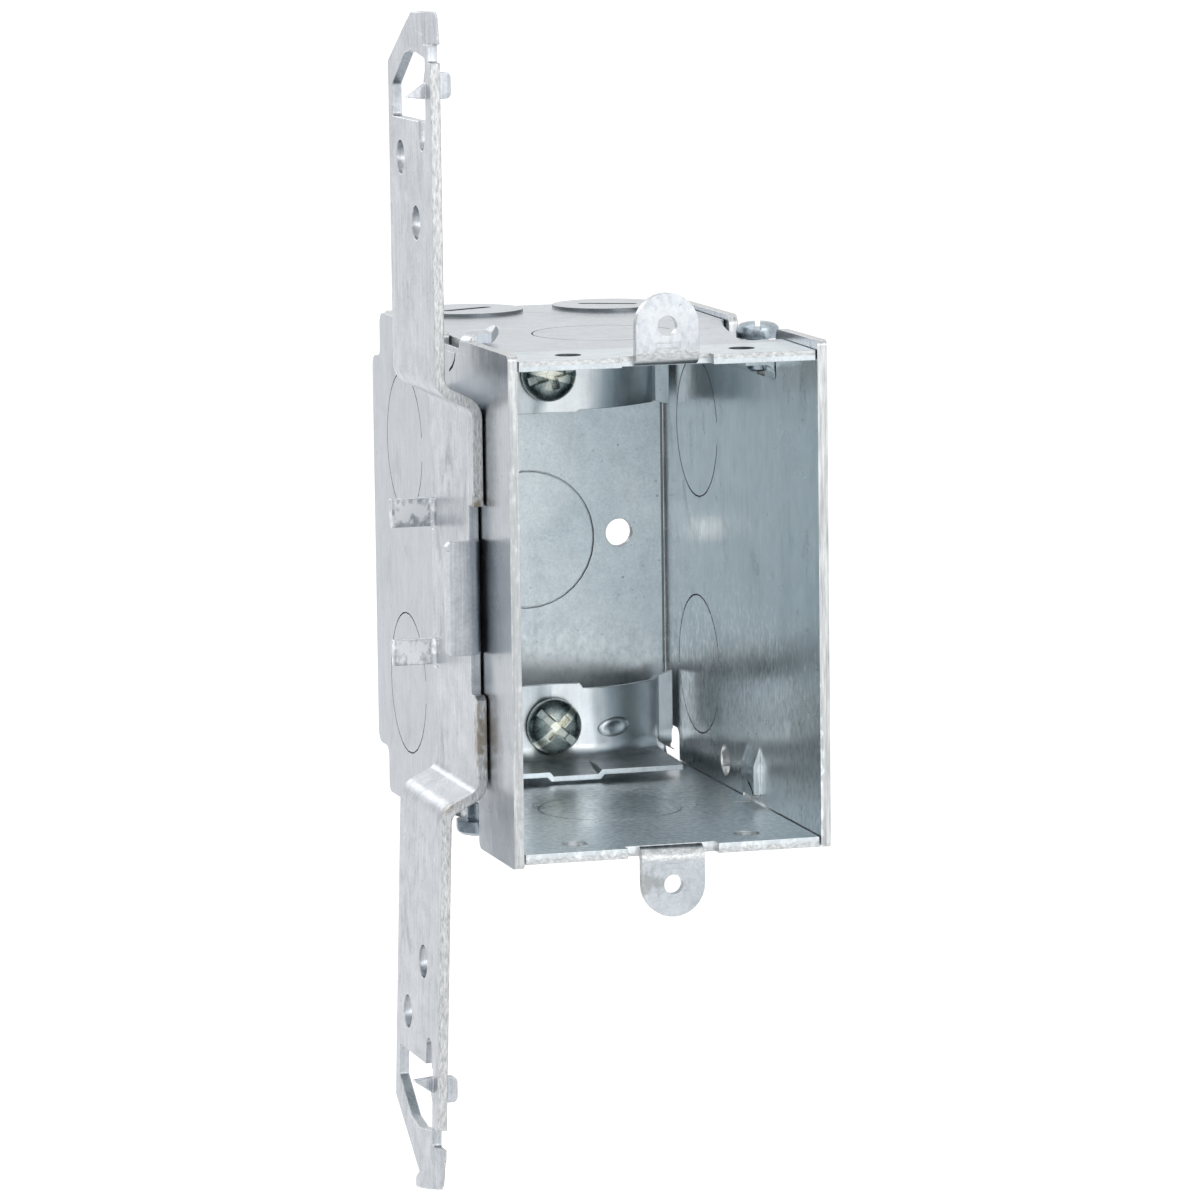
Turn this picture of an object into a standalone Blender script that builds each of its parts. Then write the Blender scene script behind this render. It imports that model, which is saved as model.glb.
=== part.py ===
"""Steel wall box for one wiring device, with loose sides, a stud bracket and two cable clamps.

Dimensions are in millimetres. X points right, Y points into the box from its front opening and Z
points up. Everything is turned into metres, and moved to the stud face, in the last step.
"""

import math

import bpy
import bmesh
from mathutils import Matrix, Vector

# Driving dimensions of the box
SHEET = 1.5
BOX_WIDTH = 49.0
BOX_HEIGHT = 76.2
DEPTH = 82.55
SIDE_GAP = 0.25
HIGH = BOX_HEIGHT / 2
BODY_EDGE = BOX_WIDTH / 2 - SHEET - SIDE_GAP
PLATE_INNER = BOX_WIDTH / 2 - SHEET
BODY_FRONT = 0.2
BODY_BACK = DEPTH - 0.25
BEND = 3.0
# Outer height of the top and bottom sheets, at the front and at the back
TOP_FRONT, TOP_BACK = HIGH - 0.85, HIGH + 0.1
BOTTOM_FRONT, BOTTOM_BACK = 0.75 - HIGH, 1.1 - HIGH

# Knockouts and other openings of the sheets
KNOCKOUT_RADIUS = 11.15
SCORE_WIDTH, SCORE_DEPTH = 0.24, 0.52
END_KNOCKOUT = (0.2, 35.0)
BACK_KNOCKOUT = (0.0, 0.45)
SIDE_KNOCKOUT_Y, SIDE_KNOCKOUT_Z = DEPTH - 20.05, HIGH / 2 - 0.15
MOUNT_HOLE_X, MOUNT_HOLE_Y, MOUNT_HOLE = BOX_WIDTH / 2 - 11.1, 6.8, 4.0
BACK_HOLE_X, BACK_HOLE_Z, BACK_HOLE = KNOCKOUT_RADIUS + 4.15, 0.9, 4.5
PRYOUT_X, PRYOUT_Y = (BODY_EDGE + SIDE_GAP) / 2, DEPTH - 10.05
PRYOUT_DIAMETER, PRYOUT_RISE = 17.6, 0.5
PRYOUT_SLOT, PRYOUT_TURN = (9.6, 1.7), 26.0

# Device ears
EAR_WIDTH, EAR_HOLE_Z, EAR_HOLE = 9.7, HIGH + 3.57, 3.0

# Cable clamps and their screws: place across, height and turn of the slot
CLAMP_SCREWS = {"lower": (-0.1, 10.6 - HIGH, 42.0), "upper": (-0.2, HIGH - 9.6, -16.0)}
CLAMP_SHEET = 0.85
CLAMP_HALF = BODY_EDGE - 0.45
CLAMP_LIP_Y = DEPTH - 24.35

# Side screws, the corners pressed down for them, and the flanges that they draw up
SIDE_SCREW_X, SIDE_SCREW_Y = BODY_EDGE - 0.15, 28.3
CORNER_LEVEL = {"right": HIGH - 1.7, "left": HIGH - 3.4}
SCREW_FLANGE_Y = (20.95, 44.15)

# Stud bracket
BRACKET_Z = 0.4
BRACKET_INNER = -BOX_WIDTH / 2 - 0.3
STRAP_OUTER = BRACKET_INNER - 7.1
STRAP_Y = (13.85, 39.3)
STRAP_SPLAY = 2.0

# The frame of the finished part: the middle of the upper strap's stud face
STUD_FACE = Vector((STRAP_OUTER, 26.5, BRACKET_Z + HIGH + 6.9))

scene = bpy.context.scene
for old in list(bpy.data.objects):
    bpy.data.objects.remove(old)
helpers = bpy.data.collections.new("Helpers")
scene.collection.children.link(helpers)
HALF_TURN = Matrix.Rotation(math.pi, 4, "Y")


# Outlines, as lists of points in one plane


def arc(a, b, radius, start, end, steps):
    """Points on a circle round (a, b), with the angles in degrees."""
    angles = (math.radians(start + (end - start) * i / steps) for i in range(steps + 1))
    return [(a + radius * math.cos(t), b + radius * math.sin(t)) for t in angles]


def circle(a, b, diameter, steps=24):
    return arc(a, b, diameter / 2, 0, 360, steps)[:-1]


def box(a0, a1, b0, b1):
    return [(a0, b0), (a1, b0), (a1, b1), (a0, b1)]


def rounded(corners, steps=4):
    """An outline from corners (a, b) or (a, b, radius), with each radius drawn as an arc."""
    points = []
    for i, corner in enumerate(corners):
        here = Vector(corner[:2])
        radius = corner[2] if len(corner) > 2 else 0
        if not radius:
            points.append(tuple(here))
            continue
        before = (Vector(corners[i - 1][:2]) - here).normalized()
        after = (Vector(corners[(i + 1) % len(corners)][:2]) - here).normalized()
        half = math.acos(max(-1, min(1, before.dot(after)))) / 2
        middle = here + (before + after).normalized() * radius / math.sin(half)
        first = here + before * radius / math.tan(half) - middle
        last = here + after * radius / math.tan(half) - middle
        turn = math.atan2(first.x * last.y - first.y * last.x, first.dot(last))
        start = math.degrees(math.atan2(first.y, first.x))
        points += arc(*middle, radius, start, start + math.degrees(turn), steps)
    return points


def folded(path, sheet, radius, steps=5):
    """The section of a sheet whose middle follows a path, bent with one middle radius."""
    spine = []
    for i, point in enumerate(path):
        here = Vector(point)
        if i in (0, len(path) - 1):
            along = (Vector(path[1]) - here) if i == 0 else (here - Vector(path[-2]))
            along.normalize()
            spine.append((here, Vector((-along.y, along.x))))
            continue
        before = (here - Vector(path[i - 1])).normalized()
        after = (Vector(path[i + 1]) - here).normalized()
        turn = math.atan2(before.x * after.y - before.y * after.x, before.dot(after))
        reach = radius * math.tan(abs(turn) / 2)
        side = 1 if turn > 0 else -1
        normal = Vector((-before.y, before.x))
        middle = here - before * reach + normal * radius * side
        for k in range(steps + 1):
            spin = Matrix.Rotation(turn * k / steps, 2)
            spine.append((middle - spin @ normal * radius * side, spin @ normal))
    left = [tuple(p + n * sheet / 2) for p, n in spine]
    right = [tuple(p - n * sheet / 2) for p, n in spine]
    return left + right[::-1]


def ring(a, b, tie_at, tie_width, radius=KNOCKOUT_RADIUS):
    """The line sheared round a knockout, with a whole tie of sheet left at one angle."""
    tie = math.degrees(tie_width / radius / 2)
    outer = arc(a, b, radius, tie_at + tie, tie_at + 360 - tie, 32)
    inner = arc(a, b, radius - SCORE_WIDTH, tie_at + tie, tie_at + 360 - tie, 32)
    return outer + inner[::-1]


def scored(outline, axis, face):
    """Shallow grooves from both faces of a sheet, for a line that is sheared but still closed."""
    below, above = face - SHEET + SCORE_DEPTH, face - SCORE_DEPTH
    return [(outline, axis, face - SHEET - 2, below), (outline, axis, above, face + 2)]


def slot(a, b, length, width, turn):
    """A slot with round ends, turned from the first axis by an angle in degrees."""
    reach = (length - width) / 2
    ends = arc(reach, 0, width / 2, -90, 90, 6) + arc(-reach, 0, width / 2, 90, 270, 6)
    c, s = math.cos(math.radians(turn)), math.sin(math.radians(turn))
    return [(a + x * c - y * s, b + x * s + y * c) for x, y in ends]


# Solids


def new_object(name, mesh, helper=False):
    obj = bpy.data.objects.new(name, mesh)
    if helper:
        helpers.objects.link(obj)
        obj.hide_render = True
        obj.display_type = "WIRE"
    else:
        scene.collection.objects.link(obj)
    return obj


def prisms(name, shapes, turn=None, helper=False):
    """Straight extrusions (outline, axis, from, to), apart from one another, as one object."""
    work = bmesh.new()
    for outline, axis, low, high in shapes:
        at = {
            "X": lambda a, b, h: (h, a, b),
            "Y": lambda a, b, h: (a, h, b),
            "Z": lambda a, b, h: (a, b, h),
        }[axis]
        ends = [[work.verts.new(at(a, b, h)) for a, b in outline] for h in (low, high)]
        faces = [work.faces.new(ends[0]), work.faces.new(ends[1])]
        for i in range(len(outline)):
            j = (i + 1) % len(outline)
            quad = (ends[0][i], ends[0][j], ends[1][j], ends[1][i])
            faces.append(work.faces.new(quad))
        bmesh.ops.recalc_face_normals(work, faces=faces)
    mesh = bpy.data.meshes.new(name)
    if turn:
        work.transform(turn)
    work.to_mesh(mesh)
    work.free()
    return new_object(name, mesh, helper)


def turned(name, profile, place, steps=32, helper=False):
    """A solid turned round its own Z from a profile (radius, height) that starts and ends at 0."""
    work = bmesh.new()
    rings = []
    for radius, height in profile:
        if radius == 0:
            rings.append([work.verts.new((0, 0, height))])
            continue
        rim = circle(0, 0, 2 * radius, steps)
        rings.append([work.verts.new((x, y, height)) for x, y in rim])
    for low, high in zip(rings, rings[1:]):
        for i in range(steps):
            j = (i + 1) % steps
            if len(low) == 1:
                work.faces.new((low[0], high[i], high[j]))
            elif len(high) == 1:
                work.faces.new((low[i], low[j], high[0]))
            else:
                work.faces.new((low[i], low[j], high[j], high[i]))
    bmesh.ops.recalc_face_normals(work, faces=work.faces[:])
    work.transform(place)
    mesh = bpy.data.meshes.new(name)
    work.to_mesh(mesh)
    work.free()
    return new_object(name, mesh, helper)


def combine(target, other, operation):
    modifier = target.modifiers.new(operation.title(), "BOOLEAN")
    modifier.operation = operation
    modifier.solver = "EXACT"
    modifier.object = other
    return target


def cut(target, name, shapes, turn=None):
    return combine(target, prisms(name, shapes, turn, helper=True), "DIFFERENCE")


def join(target, name, shapes, turn=None):
    return combine(target, prisms(name, shapes, turn, helper=True), "UNION")


def top_at(y):
    """Outer height of the top sheet at a depth."""
    return TOP_FRONT + (TOP_BACK - TOP_FRONT) * y / DEPTH


def bottom_at(y):
    return BOTTOM_FRONT + (BOTTOM_BACK - BOTTOM_FRONT) * y / DEPTH


def flipped(points, sign):
    """The same outline with its second coordinate turned over for the bottom of the box."""
    return [(a, b * sign) for a, b in points]


# The body: one sheet folded into top, back and bottom, with a device ear at each end


def make_body():
    half = SHEET / 2
    section = folded(
        [
            (BODY_FRONT, TOP_FRONT - half),
            (BODY_BACK - half, TOP_BACK - half),
            (BODY_BACK - half, BOTTOM_BACK + half),
            (BODY_FRONT, BOTTOM_FRONT + half),
        ],
        SHEET,
        BEND - half,
    )
    body = prisms("box_body", [(section, "X", -BODY_EDGE, BODY_EDGE)])

    # Knockouts, mounting holes and the clamp screws' tapped holes
    ends = ((HIGH - 8, HIGH + 4), (-HIGH - 4, 8 - HIGH))
    across = ring(*END_KNOCKOUT, 0, 3.0)
    through = scored(across, "Z", top_at(END_KNOCKOUT[1]))
    through += scored(across, "Z", bottom_at(END_KNOCKOUT[1]) + SHEET)
    through += scored(ring(*BACK_KNOCKOUT, 122, 3.0), "Y", BODY_BACK)
    through += [
        (circle(x, MOUNT_HOLE_Y, MOUNT_HOLE, 20), "Z", *span)
        for x in (-MOUNT_HOLE_X, MOUNT_HOLE_X)
        for span in ends
    ]
    wall = (DEPTH - 5, DEPTH + 3)
    through += [
        (circle(x, BACK_HOLE_Z, BACK_HOLE, 20), "Y", *wall)
        for x in (-BACK_HOLE_X, BACK_HOLE_X)
    ]
    through += [(circle(x, z, 4.3, 20), "Y", *wall) for x, z, _ in CLAMP_SCREWS.values()]
    cut(body, "body_openings", through)

    # Discs half sheared outwards for cable, each with a slot for the blade that opens it
    rises, hollows, slots = [], [], []
    for x in (-PRYOUT_X, PRYOUT_X):
        for sign, level in ((1, top_at(PRYOUT_Y)), (-1, bottom_at(PRYOUT_Y))):
            low, high = sorted((level - sign * 0.8, level + sign * PRYOUT_RISE))
            rises.append((circle(x, PRYOUT_Y, PRYOUT_DIAMETER, 40), "Z", low, high))
            inner = level - sign * SHEET
            low, high = sorted((inner - sign * 1.0, inner + sign * PRYOUT_RISE))
            hollow = circle(x, PRYOUT_Y - 0.4, PRYOUT_DIAMETER - 1.2, 40)
            hollows.append((hollow, "Z", low, high))
            turn = -math.copysign(PRYOUT_TURN, x)
            low, high = sorted((level - sign * 6, level + sign * 4))
            slots.append((slot(x, PRYOUT_Y, *PRYOUT_SLOT, turn), "Z", low, high))
    join(body, "pryout_discs", rises)
    cut(body, "pryout_hollows", hollows)
    cut(body, "pryout_slots", slots)

    # Corners pressed down for the side screws, open at the edge so that a side slides off
    # The outlines hold distances in from the edge, and depths
    wide = [(-1.2, 16.6), (4.55, 16.6), (6.15, 18.2), (6.15, 20.8), (2.55, 38.5), (0.45, 46.5)]
    wide_under = [(0.02, 15.2), (5.15, 15.2), (7.55, 17.6), (7.55, 21.1), (3.75, 39.5)]
    deep = [(-1.2, 23.4), (2.75, 23.4), (3.85, 24.8), (3.85, 32), (2.15, 38.5), (0.45, 46.5)]
    deep_under = [(0.02, 22.2), (3.35, 22.2), (5.05, 24.2), (5.05, 32.4), (3.25, 39.2)]
    notch = arc(SIDE_SCREW_X - 0.1, SIDE_SCREW_Y, 2.2, 270, 90, 8)
    notch += [(BODY_EDGE + 3, SIDE_SCREW_Y + 2.2), (BODY_EDGE + 3, SIDE_SCREW_Y - 2.2)]
    for label, turn, face, below in (
        ("right", None, wide, wide_under),
        ("left", HALF_TURN, deep, deep_under),
    ):
        level = CORNER_LEVEL[label]
        under = level - SHEET
        pocket = [(BODY_EDGE - x, y) for x, y in below + [(1.55, 48.0), (0.02, 48.0)]]
        pressed = [(BODY_EDGE - x, y) for x, y in face + [(-1.2, 46.5)]]
        join(body, f"{label}_pressed_corner", [(pocket, "Z", under, HIGH - 1.6)], turn)
        cut(body, f"{label}_pressed_face", [(pressed, "Z", level, level + 5)], turn)
        cut(body, f"{label}_screw_notch", [(notch, "Z", under - 2, level + 2)], turn)

    # Slots that the hook ends of the sides reach through
    place = BODY_EDGE - 2.05
    slots = [
        (slot(x, 33.2, 3.6, 0.9, 0), "Z", *span) for x, span in zip((-place, place), ends)
    ]
    cut(body, "tongue_slots", slots)

    # Ears for the wiring device, bent away from the opening between two relief cuts
    reliefs, ears = [], []
    tip = EAR_WIDTH / 2
    for sign, level in ((1, TOP_FRONT), (-1, BOTTOM_FRONT)):
        reliefs.append((box(-tip - 2.2, tip + 2.2, -2, 2.0), "Z", *ends[sign < 0]))
        middle = abs(level) - half
        fold = [(8.0, middle + 0.07), (0.95, middle), (0.95, HIGH + 12)]
        section = flipped(folded(fold, SHEET - 0.04, 1.35), sign)
        ears.append((section, "X", -tip - 1, tip + 1))
    cut(body, "ear_reliefs", reliefs)
    ear = prisms("ears", ears, helper=True)
    shape = [(-tip, 0)] + arc(0, EAR_HOLE_Z, tip, 180, 0, 16) + [(tip, 0)]
    outline = shape[:-1] + [(x, -z) for x, z in reversed(shape[1:])]
    trim = [(x, z) for x, z in outline if z]
    combine(ear, prisms("ear_outline", [(trim, "Y", -3, 12)], helper=True), "INTERSECT")
    combine(body, ear, "UNION")
    holes = [(circle(0, s * EAR_HOLE_Z, EAR_HOLE, 20), "Y", -3, 5) for s in (-1, 1)]
    cut(body, "ear_holes", holes)
    return body


# The two sides: the same pressing, one of them turned half round


def make_side(name, lift, turn, screw_face, hook_face, hook_back):
    """A side in its own frame, with the screw end up: heights are before the lift."""
    inner, outer = PLATE_INNER, PLATE_INNER + SHEET
    place = Matrix.Translation((0, 0, lift)) @ (turn or Matrix())
    shelf, floor = HIGH - 7.7, 2.3 - HIGH
    flange_from, flange_to = SCREW_FLANGE_Y
    outline = rounded(
        [
            (0, -HIGH, 0.8),
            (0, HIGH, 0.8),
            (flange_from - 0.45, HIGH, 1.2),
            (flange_from - 0.45, shelf, 0.3),
            (flange_to + 0.45, shelf, 0.3),
            (flange_to + 0.45, HIGH, 1.6),
            (DEPTH - 6.55, HIGH, 1.2),
            (DEPTH - 6.55, HIGH - 7.1, 1.5),
            (DEPTH, HIGH - 7.1, 2.0),
            (DEPTH, 7.1 - HIGH, 2.0),
            (hook_back, 7.1 - HIGH, 1.5),
            (hook_back, -HIGH, 2.0),
            (39.5, -HIGH, 0.8),
            (39.5, floor, 0.5),
            (28.2, floor, 0.3),
            (28.2, floor - 0.3),
            (23.5, floor - 0.3),
            (23.5, -HIGH, 0.4),
        ]
    )
    side = prisms(name, [(outline, "X", inner, outer)], place)

    # Knockouts, and the sheared line beside the tongue
    shear = [(29.8, 1.6), (30.2, 1.6), (30.9, 3.2), (32.2, 4.2), (34.1, 5.1)]
    shear += [(33.9, 5.45), (31.9, 4.6), (30.5, 3.4)]
    marks = scored([(y, z - HIGH) for y, z in shear], "X", outer)
    for s in (-1, 1):
        marks += scored(ring(SIDE_KNOCKOUT_Y, s * SIDE_KNOCKOUT_Z, 180, 3.6), "X", outer)

    # Screw end: a flange folded in under the body's pressed corner
    middle = (inner + outer) / 2
    low = screw_face - SHEET / 2
    section = folded([(middle, HIGH - 14), (middle, low), (inner - 4.6, low)], SHEET - 0.04, 2.2)
    join(side, f"{name}_flange", [(section, "Y", flange_from, flange_to)], place)
    notch = arc(SIDE_SCREW_X, SIDE_SCREW_Y, 1.95, 270, 90, 8)
    notch += [(outer + 3, SIDE_SCREW_Y + 1.95), (outer + 3, SIDE_SCREW_Y - 1.95)]
    cut(side, f"{name}_thread", [(notch, "Z", screw_face - 3.7, HIGH + 2)], place)

    # Hook end: a pointed hook over the outside of the body, and a tongue pressed inside it
    low = hook_face - SHEET / 2
    fold = [(middle, 10.1 - HIGH), (middle, low), (outer - 4.1, low), (outer - 5.5, low - 1.2)]
    section = folded(fold, SHEET - 0.04, 1.5)
    hook = prisms(f"{name}_hook", [(section, "Y", 23.0, 28.8)], place, helper=True)
    root, away = outer - 3.9, outer + 5
    point = [(outer - 5.9, 26.3, 0.6), (root, 28.2), (away, 28.2), (away, 23.52), (root, 23.52)]
    shape = [(rounded(point), "Z", -HIGH - 7, 18 - HIGH)]
    combine(hook, prisms(f"{name}_hook_point", shape, place, helper=True), "INTERSECT")
    combine(side, hook, "UNION")
    raised = [(inner + 0.6, 10.7 - HIGH), (inner, 10.7 - HIGH), (inner - 1.1, 7.7 - HIGH)]
    raised += [(inner - 1.1, floor + 0.6), (inner + 0.6, floor + 0.6)]
    join(side, f"{name}_tongue", [(raised, "Y", 30.4, 36.6)], place)
    cut(side, f"{name}_marks", marks, place)
    hole = circle(48.8, 5.9 - HIGH, 5.0)
    cut(side, f"{name}_round_hole", [(hole, "X", inner - 3, outer + 3)], place)
    return side


# The bracket: one strap, stepped out from the box at both ends so that it reaches the stud


def make_bracket():
    half = SHEET / 2
    centre, out = BRACKET_INNER - half, STRAP_OUTER + half
    front, back = STRAP_Y
    lower_start = HIGH - 6.4
    path = [(out - STRAP_SPLAY, -HIGH - 54.9), (out, -lower_start), (centre, 9.2 - HIGH)]
    path += [(centre, HIGH - 9.1), (out, HIGH - 6.3), (out, HIGH + 53.9)]
    path = [(x, z + BRACKET_Z) for x, z in path]
    bracket = prisms("stud_bracket", [(folded(path, SHEET, 2.6), "Y", front, back)])

    def level(points, sign):
        """An outline whose heights count from the box's top edge, or down from its bottom edge."""
        return [(a, BRACKET_Z + sign * (HIGH + z)) for a, z in points]

    def splay(z, sign):
        """How far a strap leans away from the box at that height."""
        return STRAP_SPLAY * (HIGH + z - lower_start) / (HIGH + 54.9 - lower_start) * (sign < 0)

    # Ends: chamfered at the back and recessed at the front, with everything past the fold cut off
    outlines = {
        1: [(back, 41.2), (27.2, 47.9), (25.8, 46.9), (14.0, 45.3), (front - 2, 45.3)],
        -1: [(back, 41.2), (23.6, 50.5), (14.0, 46.7), (front - 2, 46.7)],
    }
    recesses = {1: (15.3, 41.9, 44.6), -1: (16.9, 41.9, 44.9)}
    through = (STRAP_OUTER - 8, STRAP_OUTER + 12)
    beyond, windows, holes = [], [], []
    for sign in (1, -1):
        end = [(back + 2, 40.1)] + outlines[sign] + [(front - 2, 61), (back + 2, 61)]
        beyond.append((level(end, sign), "X", *through))
        floor, low, high = recesses[sign]
        recess = [(front - 2, low), (floor, low, 0.4), (floor, high, 0.4), (front - 2, high)]
        beyond.append((level(rounded(recess), sign), "X", *through))
        window = rounded(
            [
                (17.0, 33.0),
                (17.7, 33.0),
                (17.7, 28.7, 1.75),
                (21.3, 28.7, 1.75),
                (21.3, 33.0),
                (37.2, 33.0, 0.5),
                (37.2, 37.8, 0.5),
                (29.5, 42.7, 1.0),
                (24.8, 43.5, 1.0),
                (17.0, 42.5, 0.5),
            ]
        )
        windows.append((level(window, sign), "X", *through))
        for y, z in ((32.6, 27.1), (23.8, 17.8)):
            holes.append((level(circle(y, z, 5.15), sign), "X", *through))
    cut(bracket, "strap_ends", beyond)
    cut(bracket, "strap_windows", windows)
    cut(bracket, "nail_holes", holes)

    # Claws that bite over the stud's edge: the tip of each strap, folded out on a slant
    upper = [(14.0, 44.8), (14.0, 49.4, 1.3), (24.6, 49.1, 0.8), (27.0, 47.8, 0.2), (25.6, 45.6)]
    lower = [(14.0, 45.1), (14.0, 50.95, 1.8), (18.0, 51.7), (23.0, 52.6), (26.6, 53.1, 0.8)]
    lower += [(26.6, 51.6, 0.5), (22.7, 49.2)]
    for label, sign, tilt, lobe, near, far, coined_from in (
        ("upper", 1, 3, upper, (25.8, 46.9), (14.0, 45.3), 44.5),
        ("lower", -1, 5, lower, (14.0, 46.7), (23.6, 50.5), 44.8),
    ):
        outer = STRAP_OUTER - splay(48, sign)
        ends = (near, far)
        start, end = (Vector((outer + half, y, z)) for y, z in level(ends, sign))
        spin = Matrix.Rotation(math.radians(tilt), 4, end - start)
        place = Matrix.Translation(start) @ spin @ Matrix.Translation(-start)
        leaf = (level(rounded(lobe), sign), "X", outer + 0.02, outer + SHEET - 0.02)
        join(bracket, f"{label}_claw", [leaf], place)
        # The front corner is coined off, so that the claw's face runs round to a thin edge
        coin = [(outer - 0.4, 19.5), (outer + SHEET - 0.35, front), (outer + SHEET - 0.35, 10)]
        coin += [(outer - 4, 10), (outer - 4, 19.5)]
        heights = sorted(BRACKET_Z + sign * (HIGH + z) for z in (coined_from, 61))
        cut(bracket, f"{label}_coined_corner", [(coin, "Z", *heights)])

    # Spikes for the stud, standing on edge in the windows
    spike = rounded(
        [
            (3.8, 37.0, 0.8),
            (3.8, 40.9, 0.8),
            (0.2, 40.9),
            (0.0, 39.3),
            (-2.95, 37.3, 0.1),
            (0.0, 37.0),
        ]
    )
    for label, sign, shift in (("upper", 1, -0.5), ("lower", -1, -2.7)):
        foot_at = STRAP_OUTER - splay(37, sign)
        shape = level([(foot_at + x, z + shift) for x, z in spike], sign)
        join(bracket, f"{label}_spike", [(shape, "Y", 16.5, 18.0)])

    # Middle: a flange folded out at the front between two relief cuts, and two feet at the back
    sheet_span = (BRACKET_INNER - 3.2, BRACKET_INNER + 2.8)
    relief = [(front - 2, -16.0), (front + 1, -14.0), (17.0, -14.0), (17.0, 14.5), (front - 2, 14.5)]
    waists = [
        (relief, "X", *sheet_span),
        (box(36.6, back + 2, 8.4, 13.7), "X", *sheet_span),
        (box(36.6, back + 2, -12.8, -7.9), "X", *sheet_span),
    ]
    cut(bracket, "waist", waists)
    tip = BRACKET_INNER - 5.7
    fold = folded([(centre, 24.0), (centre, 15.25), (tip, 15.25)], SHEET - 0.04, 1.5)
    flange = prisms("front_flange", [(fold, "Z", -7.8, 9.3)], helper=True)
    clip = [(-4.8, -9), (4.6, -9), (5.0, -7.9), (5.9, -7.0), (7.2, -6), (7.2, 8), (5.9, 8.4)]
    clip += [(5.0, 9.4), (4.6, 10), (-4.8, 10)]
    clip = [(BRACKET_INNER - x, z) for x, z in clip]
    clipped = prisms("front_flange_corner", [(clip, "Y", 5, 30)], helper=True)
    combine(flange, clipped, "INTERSECT")
    combine(bracket, flange, "UNION")
    tip, rear = BRACKET_INNER - 8.1, back - half
    foot = folded([(centre, 30.0), (centre, rear), (tip, rear)], SHEET - 0.04, 1.5)
    join(bracket, "feet", [(foot, "Z", 8.9, 13.2), (foot, "Z", -12.3, -8.4)])
    return bracket


# The cable clamps: a pressed saddle with a foot that points at the opening


def clamp_front(x):
    """Depth of the clamp's face at a distance from its middle: two soft humps and a set back end."""
    half = CLAMP_HALF
    stations = [(0, 15.35), (2.5, 15.95), (6, 16.35), (9, 16.25), (half - 9, 14.35)]
    stations += [(half - 5.9, 12.15), (half - 3.9, 10.65), (half - 3.1, 8.95)]
    stations += [(half - 2.4, 7.55), (half + 0.7, 7.25)]
    for (x0, y0), (x1, y1) in zip(stations, stations[1:]):
        if abs(x) <= x1:
            return DEPTH - y0 - (y1 - y0) * (abs(x) - x0) / (x1 - x0)
    return DEPTH - stations[-1][1]


def make_clamp(name, key, sign, edge_left, edge_right, foot_top):
    """A clamp as a curved sheet given its thickness, then trimmed by its outline."""
    screw_x, screw_z, _ = CLAMP_SCREWS[key]
    half = CLAMP_HALF
    columns = {-7.5, -4, -2.9, -2.3, -1, 0, 1, 4, 5, 5.6, 7.5}
    for x in (2.5, 6, 9, half - 9, half - 5.9, half - 3.9, half - 3.1, half - 2.4, half - 1.3, half):
        columns |= {x, -x}
    columns.discard(-2.5)
    work = bmesh.new()
    grid = []
    radius = 2.4
    for x in sorted(columns):
        face = clamp_front(x)
        line = [(face, HIGH - 18.1), (face, HIGH - 14.1), (face, HIGH - 10.1)]
        line += [
            (face - radius + b * radius, foot_top - radius + a * radius)
            for a, b in ((math.sin(t), math.cos(t)) for t in (0, 0.39, 0.785, 1.18, 1.57))
        ]
        pressed = 0.7 if -2.5 < x < 5.3 else 0
        line.append((CLAMP_LIP_Y + 3.3, foot_top + 0.25 + pressed))
        line.append((CLAMP_LIP_Y, foot_top + 0.6 + pressed))
        grid.append([work.verts.new((x, y, sign * z)) for y, z in line])
    for left, right in zip(grid, grid[1:]):
        for k in range(len(left) - 1):
            work.faces.new((left[k], left[k + 1], right[k + 1], right[k]))
    bmesh.ops.recalc_face_normals(work, faces=work.faces[:])
    mesh = bpy.data.meshes.new(name)
    work.to_mesh(mesh)
    work.free()
    clamp = new_object(name, mesh)
    sheet = clamp.modifiers.new("Sheet", "SOLIDIFY")
    sheet.thickness = CLAMP_SHEET / 1000
    sheet.offset = -1 if clamp_normal_faces_front(mesh) else 1
    sheet.use_even_offset = True

    # Edge nearest the middle of the box, with its small step and its rise at the ends
    all_depths = (DEPTH - 42, DEPTH + 8)
    above = [(-half - 8, HIGH - 28), (half + 8, HIGH - 28), (half + 8, edge_right - 0.5)]
    above += [(half, edge_right - 0.7), (half - 2.9, edge_right + 0.2), (5.0, edge_right + 0.1)]
    above += [(4.4, edge_left), (-half - 8, edge_left)]
    trims = [([(x, sign * z) for x, z in above], "Y", *all_depths)]
    # Ends: no foot past the saddle, and a rounded tab beside it
    tab = [(-3.6, -6.6), (-2.5, -6.6), (-2.5, -5.7), (-1.3, -4.9, 0.5), (-0.4, -5.7, 0.5)]
    tab += [(-0.1, -7.6), (1.7, -7.6), (1.7, 1.9), (-3.4, 1.9), (-3.4, -5.5), (-3.6, -5.5)]
    for side in (-1, 1):
        corners = [(side * (half + x), sign * (HIGH + z), *more) for x, z, *more in tab]
        trims.append((rounded(corners), "Y", *all_depths))
    cut(clamp, f"{name}_outline", trims)
    hole = circle(screw_x, screw_z, 4.6)
    cut(clamp, f"{name}_hole", [(hole, "Y", DEPTH - 22.5, DEPTH - 7.5)])
    return clamp


def clamp_normal_faces_front(mesh):
    """Whether the sheet's faces look at the opening, so that its thickness goes behind them."""
    return mesh.polygons[0].normal.y < 0


# Screws


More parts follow.
